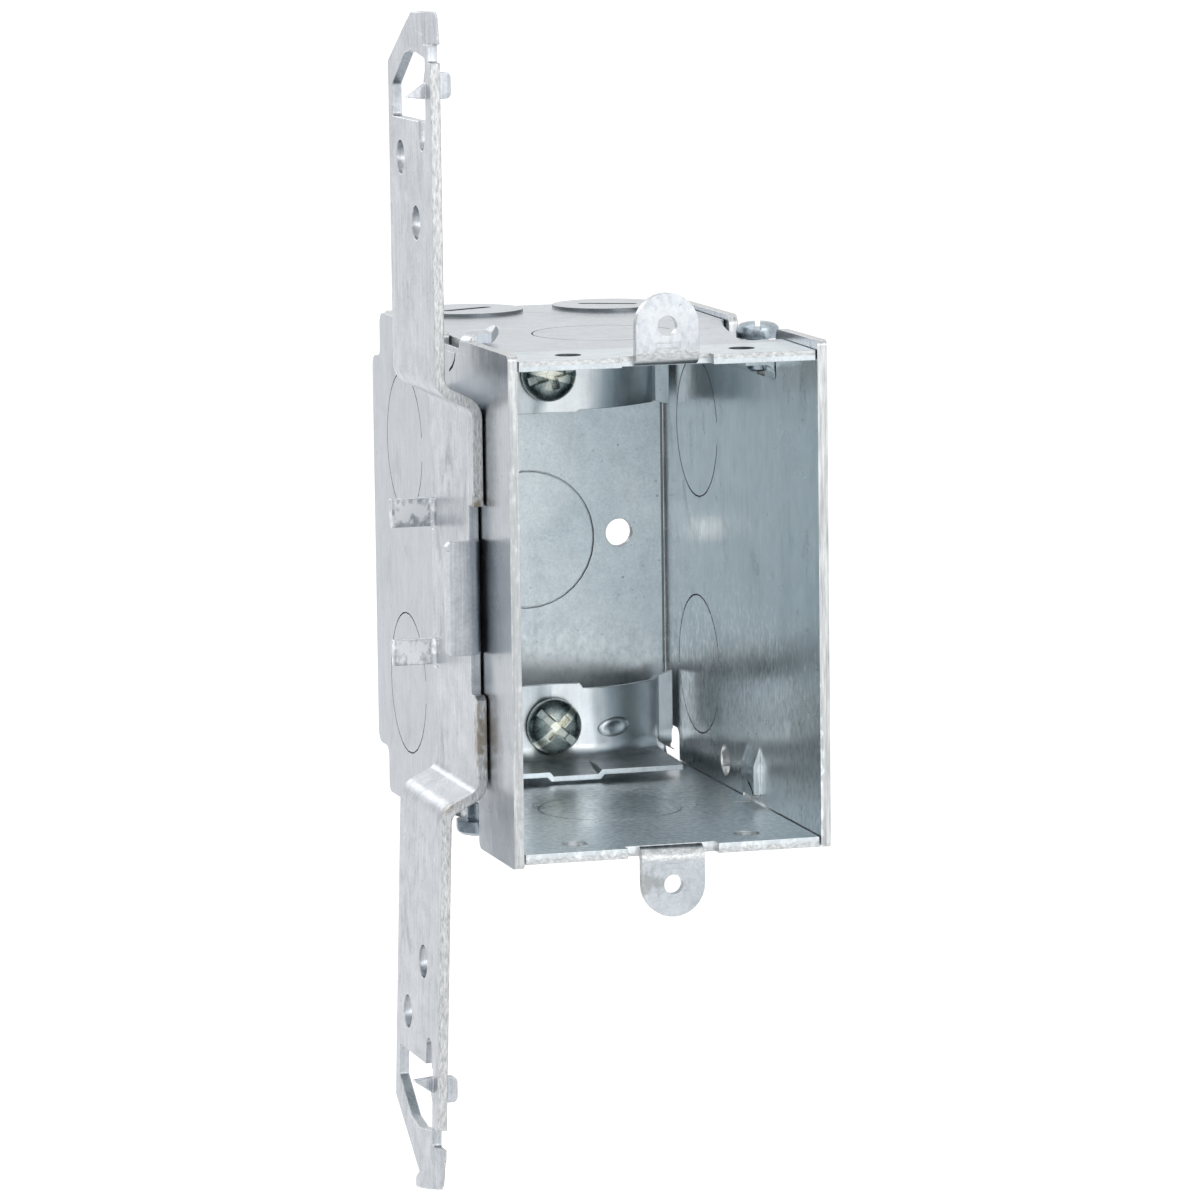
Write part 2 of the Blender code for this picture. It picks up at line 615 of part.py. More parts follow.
def make_clamp_screw(name, key):
    """Domed head with a slot and a cross recess, facing the opening."""
    x, z, turn = CLAMP_SCREWS[key]
    place = Matrix.Translation((x, DEPTH - 16.55, z)) @ Matrix.Rotation(math.pi / 2, 4, "X")
    dome = [(0, 3.0), (1.5, 2.93), (2.8, 2.6), (3.7, 2.0), (4.25, 1.2), (4.4, 0.6), (4.4, 0)]
    shank = [(1.9, 0), (1.9, -15.7), (1.5, -16.1), (0, -16.1)]
    screw = turned(name, dome + shank, place, 36)
    spin = place @ Matrix.Rotation(math.radians(-turn), 4, "Z")
    cut(screw, f"{name}_slot", [(box(-6, 6, -0.65, 0.65), "Z", 1.75, 5)], spin)
    cross = box(-0.6, 0.6, -2.35, 2.35)
    cut(screw, f"{name}_recess", [(cross, "Z", 1.1, 5)], spin)
    cut(screw, f"{name}_centre", [(box(-2.35, 2.35, -0.58, 0.58), "Z", 1.12, 5)], spin)
    return screw


def make_side_screw(name, side, seat):
    """Low round head standing on the pressed corner, with the shank down through the flange."""
    flip = HALF_TURN if side < 0 else Matrix()
    place = flip @ Matrix.Translation((SIDE_SCREW_X, SIDE_SCREW_Y, seat))
    head = [(0, 2.45), (1.6, 2.4), (2.6, 2.15), (3.15, 1.7), (3.3, 1.2), (3.3, 0)]
    shank = [(1.7, 0), (1.7, -4.8), (1.3, -5.1), (0, -5.1)]
    screw = turned(name, head + shank, place, 28)
    spin = place @ Matrix.Rotation(math.radians(74), 4, "Z")
    cut(screw, f"{name}_slot", [(box(-5, 5, -0.42, 0.42), "Z", 1.35, 5)], spin)
    return screw


make_body()
right, left = CORNER_LEVEL["right"], CORNER_LEVEL["left"]
make_side("right_side_plate", 0.6, None, right - 2.4, -HIGH - 0.05, DEPTH - 8.55)
make_side("left_side_plate", 0.1, HALF_TURN, left - 1.7, 0.35 - HIGH, DEPTH - 5.05)
make_bracket()
make_clamp("lower_cable_clamp", "lower", -1, HIGH - 17.1, HIGH - 16.4, HIGH - 5.1)
make_clamp("upper_cable_clamp", "upper", 1, HIGH - 15.9, HIGH - 15.6, HIGH - 4.5)
make_clamp_screw("lower_clamp_screw", "lower")
make_clamp_screw("upper_clamp_screw", "upper")
make_side_screw("right_side_screw", 1, right + 0.3)
make_side_screw("left_side_screw", -1, left + 0.25)

# Into metres, with the origin on the stud face
final = Matrix.Scale(0.001, 4) @ Matrix.Translation(-STUD_FACE)
for obj in bpy.data.objects:
    obj.data.transform(final)
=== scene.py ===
# %% [markdown]
# # Galvanised wall box on its stud bracket
#
# A wall box like this is folded from one sheet of zinc coated steel, closed by two loose side
# plates, and carried by a strap that is nailed to a stud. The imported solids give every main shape.
# This lesson dresses them in worn zinc, adds the small pressed marks, sets up a studio and points
# the camera the way the photograph was taken.

import math

import bmesh
import bpy
from mathutils import Matrix, Vector


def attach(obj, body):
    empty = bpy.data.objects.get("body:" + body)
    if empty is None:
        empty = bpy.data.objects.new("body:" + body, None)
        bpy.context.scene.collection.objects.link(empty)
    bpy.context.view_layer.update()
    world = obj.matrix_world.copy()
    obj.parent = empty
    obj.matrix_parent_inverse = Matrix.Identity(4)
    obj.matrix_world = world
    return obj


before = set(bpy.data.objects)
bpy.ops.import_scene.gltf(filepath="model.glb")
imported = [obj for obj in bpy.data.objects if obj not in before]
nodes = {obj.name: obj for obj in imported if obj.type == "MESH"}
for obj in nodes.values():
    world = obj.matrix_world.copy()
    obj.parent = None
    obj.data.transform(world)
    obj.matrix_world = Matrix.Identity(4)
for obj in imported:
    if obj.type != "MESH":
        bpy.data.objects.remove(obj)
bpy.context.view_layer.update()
scene = bpy.context.scene
MM = 0.001
print("solids:", ", ".join(sorted(nodes)))

# %% [markdown]
# ## Camera
#
# A render can only be laid over a photograph if both share one camera. Its place, its three
# angles and its focal length were fitted to the corners and holes of the box, in millimetres from
# the middle of the stud face. A long lens a metre away keeps the sides nearly parallel.

# %% Point the camera
CAMERA_AT = Vector((-232.55, -920.66, 83.52)) * MM
YAW, PITCH, ROLL = (math.radians(angle) for angle in (15.83, 7.80, -0.74))
FOCAL_PIXELS, PHOTO_PIXELS, SENSOR = 6368, 1200, 36.0
NEAREST, FARTHEST = 0.02, 50

ahead = Vector(
    (math.sin(YAW) * math.cos(PITCH), math.cos(YAW) * math.cos(PITCH), -math.sin(PITCH))
)
level = Vector((math.cos(YAW), -math.sin(YAW), 0))
upright = level.cross(ahead)
right = level * math.cos(ROLL) + upright * math.sin(ROLL)
up = upright * math.cos(ROLL) - level * math.sin(ROLL)
camera = bpy.data.objects.new("camera", bpy.data.cameras.new("camera"))
camera.matrix_world = Matrix((right, up, -ahead)).transposed().to_4x4()
camera.location = CAMERA_AT
camera.data.sensor_width = SENSOR
camera.data.lens = FOCAL_PIXELS / PHOTO_PIXELS * SENSOR
camera.data.clip_start, camera.data.clip_end = NEAREST, FARTHEST
scene.collection.objects.link(camera)
scene.camera = camera
scene.view_settings.view_transform = "Standard"
print("lens %.0f mm, %.2f m away" % (camera.data.lens, CAMERA_AT.length))

# %% [markdown]
# ## Colours
#
# Colours are easiest to judge as the sRGB codes of a paint chart, but a shader wants linear
# light, so one function turns the one into the other, by the curve of the sRGB standard.


# %% From a colour code to linear light
def linear(code):
    """Colour as the shader wants it, from an sRGB hex code."""
    parts = [int(code[i : i + 2], 16) / 255 for i in (1, 3, 5)]
    light = [p / 12.92 if p <= 0.04045 else ((p + 0.055) / 1.055) ** 2.4 for p in parts]
    return (*light, 1)


print("zinc grey in linear light:", [round(part, 3) for part in linear("#C1C8CD")[:3]])

# %% [markdown]
# ## One function for nodes
#
# A material is a small tree of nodes. One function adds a node, sets it up and links its inputs,
# so that a tree reads from its noises down to its output. The Mix node keeps a set of sockets for
# each kind of data, and only numbers tell them apart, so those for colours get names here.

# %% Add a node
SHARE, UNDER, OVER = 0, 6, 7
IN_COLOUR = {"output": 2, "data_type": "RGBA"}


def add(tree, kind, inputs=(), output=0, **settings):
    """Add a shader node. Inputs are a list, or a dict by name or number, of values or sockets."""
    node = tree.nodes.new("ShaderNode" + kind)
    for name, value in settings.items():
        setattr(node, name, value)
    inputs = inputs if isinstance(inputs, dict) else dict(enumerate(inputs))
    for socket, value in inputs.items():
        if isinstance(value, bpy.types.NodeSocket):
            tree.links.new(value, node.inputs[socket])
        else:
            node.inputs[socket].default_value = value
    return node.outputs[output] if node.outputs else None


def new_material(name):
    """A material and its tree, with no nodes yet."""
    material = bpy.data.materials.new(name)
    material.use_nodes = True
    material.node_tree.nodes.clear()
    return material, material.node_tree


print("a colour mix has its share at %d and its colours at %d and %d" % (SHARE, UNDER, OVER))

# %% [markdown]
# ## Where a pattern sits
#
# Patterns are laid out in the object's own space, so that they stay on the metal when it moves.
# Each one is given the real size of its features in millimetres along x, y and z. Rolled lines
# are long one way and thin the other two, and grain is the same all ways. A seed moves a pattern
# along, so that no two finishes show the same clouds.

# %% Sizes in millimetres
SEED_STEP = (17.3, 5.1, 9.7)


def place(tree, size=(1, 1, 1), seed=0.0):
    """Object coordinates counted in features of a size in millimetres, moved by a seed."""
    inputs = {
        "Vector": add(tree, "TexCoord", output="Object"),
        "Location": [seed * step for step in SEED_STEP],
        "Scale": [1 / (length * MM) for length in size],
    }
    return add(tree, "Mapping", inputs)


print("each seed moves a pattern by %s features" % (SEED_STEP,))

# %% [markdown]
# ## Zinc coated steel: the tone of the coat
#
# The sheet is cold rolled steel with a thin hot dipped coat. Three things give its tone. The
# coat dulls in soft clouds a centimetre or two across, with smaller spots among them. Its
# crystals leave a fine grain, which is too small to show, so here it is drawn 0.4 mm wide.
# Rolling leaves straight lines along the strip, a third of a millimetre apart. Noise at each of
# those sizes is added up to one number, which later picks a colour between dull and bright zinc.

# %% Clouds, spots, grain and rolled lines
SOFT_NOISE = {"Scale": 1.0, "Detail": 4.0, "Roughness": 0.55, "Distortion": 0.4}
FINE_NOISE = {"Scale": 1.0, "Detail": 3.0, "Roughness": 0.75}
MOST_NOISE = (0.3, 0.7)
CLOUDS_TO_TONE = (0.32, 0.68, 0.26, 0.74)
SPOT_SIZE, SPOT_SHARE = (3, 3, 3), 0.16


def coat_tone(tree, seed, cloud, grain, line):
    """Brightness of the coat from 0 to 1. Grain and line are a size and a share each."""
    clouds = add(tree, "TexNoise", {"Vector": place(tree, [cloud] * 3, seed), **SOFT_NOISE})
    spots = add(tree, "TexNoise", {"Vector": place(tree, SPOT_SIZE, seed + 1), **SOFT_NOISE})
    grains = add(tree, "TexNoise", {"Vector": place(tree, [grain[0]] * 3, seed), **FINE_NOISE})
    lines = add(tree, "TexNoise", {"Vector": place(tree, line[0], seed), **FINE_NOISE})

    tone = add(tree, "MapRange", [clouds, *CLOUDS_TO_TONE])
    for layer, share in ((spots, SPOT_SHARE), (grains, grain[1]), (lines, line[1])):
        layer = add(tree, "MapRange", [layer, *MOST_NOISE, -share, share])
        tone = add(tree, "Math", [tone, layer], operation="ADD")
    tone = add(tree, "Math", [tone, 0.0], operation="ADD", use_clamp=True)
    return tone, clouds, grains, lines


print("spots are %d mm wide and shift the tone by up to %.2f" % (SPOT_SIZE[0], SPOT_SHARE))

# %% [markdown]
# ## Rounded edges without more faces
#
# Folded and punched sheet has slightly rounded edges that catch a thin line of light. Bevelling
# the mesh would add thousands of faces, and stumbles over the long thin triangles of the
# solids. The shader can round the normals instead, by a radius in millimetres. Where the rounded
# normal leaves the true one there is an edge, which also tells where handling rubs the zinc.

# %% Rounded normals and a mask for edges
BEVEL_SAMPLES = 4
LEANING_TO_MASK = (0.985, 0.8, 0.0, 1.0)


def soft_edges(tree, radius):
    """A normal rounded near edges, and a mask that is 1 on them."""
    rounded = add(tree, "Bevel", {"Radius": radius * MM}, samples=BEVEL_SAMPLES)
    true = add(tree, "NewGeometry", output="Normal")
    same = add(tree, "VectorMath", [rounded, true], "Value", operation="DOT_PRODUCT")
    return rounded, add(tree, "MapRange", [same, *LEANING_TO_MASK])


lean = math.degrees(math.acos(LEANING_TO_MASK[1]))
print("an edge is full where its normal leans %.0f degrees" % lean)

# %% [markdown]
# ## Faces found by where they look and lie
#
# The solids have one surface each, so a finish that differs from face to face has to find them.
# A row of windows does it: one on an axis of the face's normal, others on its place in
# millimetres. A face is chosen when it lies in every window of any one row.


# %% Choose faces
def window(tree, value, low, high):
    """1 where a value lies between two limits."""
    above = add(tree, "Math", [value, low], operation="GREATER_THAN")
    below = add(tree, "Math", [value, high], operation="LESS_THAN")
    return add(tree, "Math", [above, below], operation="MULTIPLY")


def faces_within(tree, rows):
    """1 on faces inside every window of a row, given as normal or place, axis, low and high."""
    source = {"normal": add(tree, "NewGeometry", output="True Normal"), "place": place(tree)}
    total = None
    for row in rows:
        mask = None
        for kind, axis, low, high in row:
            inside = window(tree, add(tree, "SeparateXYZ", [source[kind]], axis), low, high)
            if mask is not None:
                inside = add(tree, "Math", [mask, inside], operation="MINIMUM")
            mask = inside
        if total is not None:
            mask = add(tree, "Math", [total, mask], operation="MAXIMUM")
        total = mask
    return total


LOOKS_FRONT = ("normal", "Y", -1.1, -0.7)
LOOKS_LEFT = ("normal", "X", -1.1, -0.9)
LOOKS_RIGHT = ("normal", "X", 0.9, 1.1)
NOT_SIDEWAYS = ("normal", "X", -0.5, 0.5)
NOT_FRONT_OR_BACK = ("normal", "Y", -0.3, 0.3)
NOT_UP_OR_DOWN = ("normal", "Z", -0.3, 0.3)
print("a face looks front within %.0f degrees" % math.degrees(math.acos(-LOOKS_FRONT[3])))

# %% [markdown]
# ## Inside and outside
#
# Inside the box the coat is painted lighter and bluer than outside. This is painted light, standing
# in for the light that the inner walls pass to each other. A point on an inner face lies inside the
# outline of the box, which tells the two apart.

# %% Colour of the coat
MIDDLE_X, MIDDLE_Z = 31.9, -45.4
INNER_HALF_WIDTH, INNER_HALF_HEIGHT = 24.2, 37.4
INSIDE = [
    ("place", "X", MIDDLE_X - INNER_HALF_WIDTH, MIDDLE_X + INNER_HALF_WIDTH),
    ("place", "Y", -27, 55.2),
    ("place", "Z", MIDDLE_Z - INNER_HALF_HEIGHT, MIDDLE_Z + INNER_HALF_HEIGHT),
]


def coat_colour(tree, tone, outside, inside):
    """Colour by tone, from a dull and a bright code for each side; the inner codes carry painted
    light.
    """
    sides = []
    for dull, bright in (outside, inside):
        colours = {SHARE: tone, UNDER: linear(dull), OVER: linear(bright)}
        sides.append(add(tree, "Mix", colours, **IN_COLOUR))
    within = faces_within(tree, [INSIDE])
    return add(tree, "Mix", {SHARE: within, UNDER: sides[0], OVER: sides[1]}, **IN_COLOUR)


print("inside is %.1f by %.1f mm" % (2 * INNER_HALF_WIDTH, 2 * INNER_HALF_HEIGHT))

# %% [markdown]
# ## Smudges and specks
#
# Oil and fingers leave faint grey smudges, longer than wide, and dust in the bath leaves dark
# specks under a millimetre across. Both are noise cut off high, so that only its peaks show.

# %% Smudge and speck the coat
SMUDGE_NOISE = {"Scale": 1.0, "Detail": 5.0, "Roughness": 0.68, "Distortion": 1.0}
SMUDGE_SIZE, SMUDGE_CUT, SMUDGE_GREY = (7, 7, 14), (0.56, 0.76), "#868D92"
SPECK_SIZE, SPECK_CUT, SPECK_GREY = (0.9, 0.9, 0.9), (0.74, 0.8), "#6B6F72"
SPECK_SHARE = 0.5


def smudge_and_speck(tree, colour, seed, share):
    """Colour with smudges and specks, and the mask of the smudges."""
    smudges = {"Vector": place(tree, SMUDGE_SIZE, seed + 8), **SMUDGE_NOISE}
    smudges = add(tree, "MapRange", [add(tree, "TexNoise", smudges), *SMUDGE_CUT, 0.0, share])
    colour = {SHARE: smudges, UNDER: colour, OVER: linear(SMUDGE_GREY)}
    colour = add(tree, "Mix", colour, **IN_COLOUR)
    specks = {"Vector": place(tree, SPECK_SIZE, seed + 2), "Scale": 1.0, "Detail": 1.0}
    specks = add(tree, "TexNoise", specks)
    specks = add(tree, "MapRange", [specks, *SPECK_CUT, 0.0, SPECK_SHARE])
    colour = {SHARE: specks, UNDER: colour, OVER: linear(SPECK_GREY)}
    return add(tree, "Mix", colour, **IN_COLOUR), smudges


print("smudges are %d mm long, specks %.1f mm wide" % (SMUDGE_SIZE[2], SPECK_SIZE[0]))

# %% [markdown]
# ## Rubbed edges, partly painted highlight
#
# Handling rubs the edges bright, but not evenly, and the bright rim is also a painted highlight
# along edges and bends. The mask of the edges is broken up by noise a millimetre wide.

# %% Rub and highlight the edges
RUB_SIZE, RUB_TO_SHARE = (1.1, 1.1, 1.1), (0.3, 0.6, 0.3, 1.0)


def rub_and_highlight_edges(tree, colour, seed, radius, code):
    """Colour with edges rubbed bright and carrying a painted highlight, and the rounded normal."""
    rounded, rim = soft_edges(tree, radius)
    rubbed = {"Vector": place(tree, RUB_SIZE, seed + 4), "Scale": 1.0, "Detail": 3.0}
    rubbed = add(tree, "MapRange", [add(tree, "TexNoise", rubbed), *RUB_TO_SHARE])
    rim = add(tree, "Math", [rim, rubbed], operation="MULTIPLY")
    colour = {SHARE: rim, UNDER: colour, OVER: linear(code)}
    return add(tree, "Mix", colour, **IN_COLOUR), rounded


print("rubbed places are about %.1f mm wide" % RUB_SIZE[0])

# %% [markdown]
# ## Sheared edges
#
# Where the press cuts the sheet, half of the thickness is burnished by the tool and half breaks
# off rough, with specks of bare steel and smeared zinc. Small holes are painted darker in their
# bore: partly the bare cut, where the zinc doesn't reach, and partly painted shade, as little light
# gets in.

# %% Tear the cut faces
TORN_TO_TONE = (0.32, 0.64, 0.0, 1.0)
BARE_STEEL, SMEARED_ZINC = "#9A9C9D", "#DEDFDF"
BORE_SHADE_GREY, BORE_SHADE_SHARE = "#50565A", 0.8


def tear(tree, colour, seed, cuts, size, share):
    """Colour with torn cut faces, the mask of those faces, and the noise that tears them."""
    cut = faces_within(tree, cuts)
    torn = {"Vector": place(tree, size, seed + 5), "Scale": 1.0, "Detail": 4.0}
    torn = add(tree, "TexNoise", {**torn, "Roughness": 0.7})
    tone = add(tree, "MapRange", [torn, *TORN_TO_TONE])
    specks = {SHARE: tone, UNDER: linear(BARE_STEEL), OVER: linear(SMEARED_ZINC)}
    specks = add(tree, "Mix", specks, **IN_COLOUR)
    share = add(tree, "Math", [cut, share], operation="MULTIPLY")
    colour = add(tree, "Mix", {SHARE: share, UNDER: colour, OVER: specks}, **IN_COLOUR)
    return colour, cut, torn


def darken_bores_with_shade(tree, colour, holes):
    """Colour with bores darkened for bare cut steel and for painted shade."""
    bore = add(tree, "Math", [faces_within(tree, holes), BORE_SHADE_SHARE], operation="MULTIPLY")
    colour = {SHARE: bore, UNDER: colour, OVER: linear(BORE_SHADE_GREY)}
    return add(tree, "Mix", colour, **IN_COLOUR)


print("cut faces run from %s to %s" % (BARE_STEEL, SMEARED_ZINC))

# %% [markdown]
# ## Marks from handling, and patches of painted light and shade
#
# Dirt and rubbed places sit where fingers, tools and other boxes touch, and a few patches are
# painted light and painted shade instead. Each is a patch with a centre and a reach in millimetres,
# and noise makes its border ragged.

# %% Patches of wear and of painted light and shade
RAGGED_SIZE, RAGGED_BY = (0.9, 0.9, 1.4), 0.6
PATCH_BORDER = (1.0, 0.35)


def patch(tree, colour, centre, reach, code, share, seed):
    """Colour with a ragged patch of another colour around a centre."""
    offset = add(tree, "VectorMath", [place(tree), centre], operation="SUBTRACT")
    offset = add(tree, "VectorMath", [offset, reach], operation="DIVIDE")
    far = add(tree, "VectorMath", [offset], "Value", operation="LENGTH")
    ragged = {"Vector": place(tree, RAGGED_SIZE, seed), "Scale": 1.0, "Detail": 4.0}
    ragged = add(tree, "TexNoise", ragged)
    ragged = add(tree, "MapRange", [ragged, *MOST_NOISE, -RAGGED_BY, RAGGED_BY])
    far = add(tree, "Math", [far, ragged], operation="ADD")
    inside = add(tree, "MapRange", [far, *PATCH_BORDER, 0.0, share])
    return add(tree, "Mix", {SHARE: inside, UNDER: colour, OVER: linear(code)}, **IN_COLOUR)


print("a patch fades between %.2f and %.2f of its reach" % PATCH_BORDER[::-1])

# %% [markdown]
# ## Height of the surface
#
# The light should catch the lines, the grain and the burrs as well as show their colour. They
# stand a few thousandths of a millimetre high. Pressed sheet also waves slightly over a
# centimetre, which bends the reflections, so a second and deeper bump goes over the first.

# %% Bumps and waves
LINE_HEIGHT, FINE_STRENGTH, FINE_DEPTH = 0.5, 0.5, 0.006
WAVE_SIZE = (9, 9, 9)


def bumps(tree, seed, lines, grains, burrs, burr, rounded, wave):
    """Normal with lines, grain and burrs, over waves of a height in millimetres."""
    height = add(tree, "Math", [lines, LINE_HEIGHT, grains], operation="MULTIPLY_ADD")
    height = add(tree, "Math", [burrs, burr, height], operation="MULTIPLY_ADD")
    fine = {"Height": height, "Strength": FINE_STRENGTH, "Distance": FINE_DEPTH * MM}
    fine = add(tree, "Bump", {**fine, "Normal": rounded})
    swell = add(tree, "TexNoise", {"Vector": place(tree, WAVE_SIZE, seed), "Scale": 1.0})
    waves = {"Height": swell, "Strength": 1.0, "Distance": wave * MM, "Normal": fine}
    return add(tree, "Bump", waves)


print("fine bumps are %.3f mm high, waves %d mm long" % (FINE_DEPTH, WAVE_SIZE[0]))

# %% [markdown]
# ## The sheet material
#
# All the layers come together here. Zinc is a metal, so metallic is 1 and its IOR keeps the
# default. Its roughness runs from 0.2 where the rolls left it bright to 0.4 where it has dulled,
# and smudges and cut faces are rougher still.

# %% Build a zinc sheet
DULLING = (0.3, 0.72)
SMUDGE_ROUGHER, CUT_ROUGHER = 0.35, 0.12


def zinc_sheet(
    name, seed, outside, inside, cuts, torn, gloss, cloud, grain, line, edge, wave, smudge,
    holes=(), patches=(),
):
    """Zinc sheet. Torn is a size, a height and a share, and gloss is the roughness, low to high."""
    material, tree = new_material(name)
    tone, clouds, grains, lines = coat_tone(tree, seed, cloud, grain, line)
    colour = coat_colour(tree, tone, outside, inside)
    colour, smudges = smudge_and_speck(tree, colour, seed, smudge)
    colour, rounded = rub_and_highlight_edges(tree, colour, seed, *edge)
    size, burr, share = torn
    colour, cut, tears = tear(tree, colour, seed, cuts, size, share)
    # bores: bare cut steel and painted shade
    if holes:
        colour = darken_bores_with_shade(tree, colour, holes)
    for number, (centre, reach, code, strength) in enumerate(patches):
        colour = patch(tree, colour, centre, reach, code, strength, seed + number)

    rough = add(tree, "MapRange", [clouds, *DULLING, *gloss])
    for layer, more in ((smudges, SMUDGE_ROUGHER), (cut, CUT_ROUGHER)):
        inputs = [layer, more, rough]
        rough = add(tree, "Math", inputs, operation="MULTIPLY_ADD", use_clamp=True)
    burrs = add(tree, "Math", [cut, tears], operation="MULTIPLY")
    normal = bumps(tree, seed, lines, grains, burrs, burr, rounded, wave)
    inputs = {"Base Color": colour, "Metallic": 1.0, "Roughness": rough, "Normal": normal}
    add(tree, "OutputMaterial", [add(tree, "BsdfPrincipled", inputs)])
    print("%s: %d nodes" % (name, len(tree.nodes)))
    return material


# %% [markdown]
# ## The box body
#
# The body is the flattest and the finest grained piece. Its cut faces are the front edges of
# the top and bottom, and the long edges that look sideways. The upper ear is rubbed bright and
# the lower one is dirty.
#
# Low in the box the photograph is lighter than this coat makes it, as if the real walls pass
# more light to each other. Two wide patches lighten the coat there to come closer. They are a
# stand-in, and not a wear mark.

# %% Where the body is cut and bored
TOP_SHEET = ("place", "Z", MIDDLE_Z + 36.5, MIDDLE_Z + 38.05)
BOTTOM_SHEET = ("place", "Z", MIDDLE_Z - 38.05, MIDDLE_Z - 36.5)
FRONT_STRIP = ("place", "Y", -28, -20)
body_cuts = [
    [LOOKS_FRONT, FRONT_STRIP, TOP_SHEET],
    [LOOKS_FRONT, FRONT_STRIP, BOTTOM_SHEET],
    [LOOKS_RIGHT],
    [LOOKS_LEFT],
]
BETWEEN_SIDES = ("place", "X", MIDDLE_X - 22, MIDDLE_X + 22)
BEHIND_FRONT = ("place", "Y", -24, 55)
IN_TOP, IN_BOTTOM = ("place", "Z", -9.0, -6.6), ("place", "Z", -84.2, -81.8)
IN_BACK = [("place", "Y", 54.1, 56), ("place", "Z", -80, -11)]
BACK_CORNER = [("place", "X", 54.25, 55), ("place", "Y", 53, 56.2)]
body_holes = [
    [NOT_UP_OR_DOWN, BETWEEN_SIDES, BEHIND_FRONT, IN_TOP],
    [NOT_UP_OR_DOWN, BETWEEN_SIDES, BEHIND_FRONT, IN_BOTTOM],
    [NOT_FRONT_OR_BACK, BETWEEN_SIDES, *IN_BACK],
    BACK_CORNER,
]
print("the body has %d kinds of cut face and %d of bore" % (len(body_cuts), len(body_holes)))

# %% [markdown]
# ## The body's sheet
#
# Its rolled lines run from front to back and are faint.

# %% Body sheet
body_sheet = zinc_sheet(
    "hot_dipped_zinc_body",
    seed=1.0,
    outside=("#AAB1B7", "#CFD4D9"),
    # inner colours lighter than the outer ones: painted light
    inside=("#BAC4C9", "#DCE4E8"),
    cuts=body_cuts,
    torn=((0.7, 0.4, 0.4), 7.0, 0.8),
    holes=body_holes,
    gloss=(0.26, 0.36),
    cloud=14.0,
    grain=(0.42, 0.3),
    line=((0.35, 16.0, 0.35), 0.12),
    edge=(0.16, "#DDE0E2"),
    wave=0.12,
    smudge=0.25,
    patches=[
        ((31.9, -26, -3.0), (7, 3, 5), "#E6E8EA", 0.35),  # upper ear, rubbed
        ((28, -26, -86.5), (3, 3, 2.2), "#8F9390", 0.6),  # lower ear, dirty
        ((31.9, 6, -81.6), (34, 44, 0.8), "#F6F9FB", 0.9),  # floor of the box, painted light
        ((31.9, 54.4, -68), (28, 0.5, 9), "#EEF3F5", 0.5),  # foot of the back wall, painted light
    ],
)

# %% [markdown]
# ## The side plates
#
# The plates are painted brighter inside, as painted light, with clear upright rolling lines, and the
# cut faces are all those that don't look sideways within the thickness of the sheet. The right plate
# has a rubbed patch near its middle, and the left front edge is duller than the right. Low down
# inside, the right plate carries a patch of painted light, as the body does.

# %% Side plate sheet
PLATE_OUT, PLATE_IN = 24.6, 22.9
plate_places = [
    ("place", "X", MIDDLE_X - PLATE_OUT, MIDDLE_X - PLATE_IN),
    ("place", "X", MIDDLE_X + PLATE_IN, MIDDLE_X + PLATE_OUT),
]
AWAY_FROM_RIM = [("place", "Y", -22, 53.5), ("place", "Z", MIDDLE_Z - 33, MIDDLE_Z + 33)]
plate_sheet = zinc_sheet(
    "hot_dipped_zinc_side_plates",
    seed=2.0,
    outside=("#9DA3A9", "#BABFC5"),
    # inner colours lighter than the outer ones: painted light
    inside=("#B6C1C6", "#D8E1E5"),
    cuts=[[NOT_SIDEWAYS, plate] for plate in plate_places],
    torn=((0.32, 0.6, 7.0), 2.0, 0.85),
    holes=[[NOT_SIDEWAYS, plate, *AWAY_FROM_RIM] for plate in plate_places],
    gloss=(0.2, 0.3),
    cloud=15.0,
    grain=(0.45, 0.12),
    line=((0.35, 0.35, 16.0), 0.28),
    edge=(0.16, "#DDE0E2"),
    wave=0.16,
    smudge=0.3,
    patches=[
        ((54.9, 44, -42), (0.4, 13, 3.5), "#E4E8EA", 0.4),  # right plate, rubbed
        ((54.9, 8, -78), (0.5, 60, 24), "#F4F8FA", 0.85),  # right plate low inside, painted light
        ((8.1, -26.6, -45), (1.3, 0.5, 45), "#A9ADB0", 0.6),  # left front edge, dull
        ((7.4, 4.7, -53.9), (1, 0.7, 0.5), "#5F5A55", 0.9),  # dark fleck on the left plate
    ],
)
